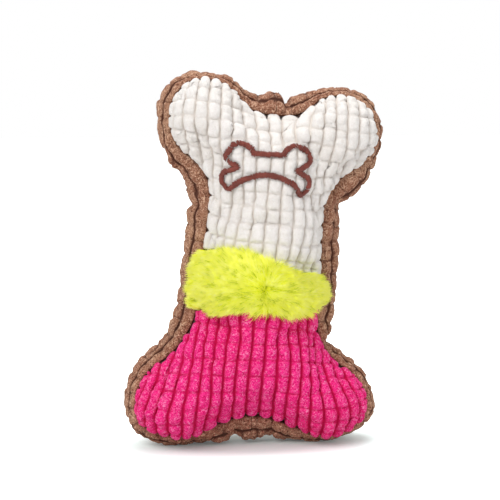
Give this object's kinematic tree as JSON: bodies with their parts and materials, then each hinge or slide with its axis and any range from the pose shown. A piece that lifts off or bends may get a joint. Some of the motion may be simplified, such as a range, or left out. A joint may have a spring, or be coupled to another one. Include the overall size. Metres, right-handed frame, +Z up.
{
  "type": "squeaky dog toy",
  "caption": "Stuffed plush bone that stands on its lower knobs, with corduroy panels, a fur band, a sewn border and a squeaker inside that sounds when the front is squeezed.",
  "frame": {"origin": "on the surface it stands on, under the middle of the toy's box", "axes": "+Z up, -Y out of the coloured front, +X to the right as seen from the front"},
  "size_m": [0.149, 0.0718, 0.214],
  "materials": {
    "white_corduroy": "short-pile grid corduroy",
    "yellow_fur": "long-pile faux fur",
    "pink_corduroy": "short-pile grid corduroy",
    "brown_corduroy": "short-pile grid corduroy",
    "embroidery_thread": "satin stitch",
    "sewing_thread": "spun polyester thread",
    "polyester_fibre": "loose crimped fibre",
    "bulb_plastic": "blown soft polyethylene",
    "plug_plastic": "moulded polyethylene",
    "reed_film": "thin polyester film"
  },
  "bodies": {
    "back": {"gusset_left": "brown_corduroy", "gusset_right": "brown_corduroy", "back_panel": "brown_corduroy", "front_seam_thread": "sewing_thread", "back_seam_thread": "sewing_thread", "gusset_top_seam_thread": "sewing_thread", "gusset_bottom_seam_thread": "sewing_thread", "stuffing_upper_left": "polyester_fibre", "stuffing_upper_right": "polyester_fibre", "stuffing_lower_left": "polyester_fibre", "stuffing_lower_right": "polyester_fibre", "stuffing_shank_back": "polyester_fibre", "squeaker_bulb": "bulb_plastic", "squeaker_plug": "plug_plastic", "reed_seat": "plug_plastic", "reed_clamp": "plug_plastic"},
    "front": {"front_upper_panel": "white_corduroy", "front_fur_band": "yellow_fur", "front_lower_panel": "pink_corduroy", "embroidered_bone": "embroidery_thread", "band_upper_seam_thread": "sewing_thread", "band_lower_seam_thread": "sewing_thread", "stuffing_shank_front": "polyester_fibre"},
    "reed": {"squeaker_reed": "reed_film"}
  },
  "joints": [
    {"name": "squeeze", "type": "slide", "parent": "back", "child": "front", "axis": [0, 1, 0], "range_m": [0, 0.014], "stiffness_N_per_m": 900, "deforming": ["stuffing_upper_left", "stuffing_upper_right", "stuffing_lower_left", "stuffing_lower_right", "stuffing_shank_front", "stuffing_shank_back", "squeaker_bulb"]},
    {"name": "reed_flutter", "type": "hinge", "parent": "back", "child": "reed", "pos_m": [0.00437, 0.00347, 0.11705], "axis": [0.9957, 0, -0.0924], "range_deg": [-2, 5], "stiffness_Nm_per_rad": 0.00002}
  ]
}
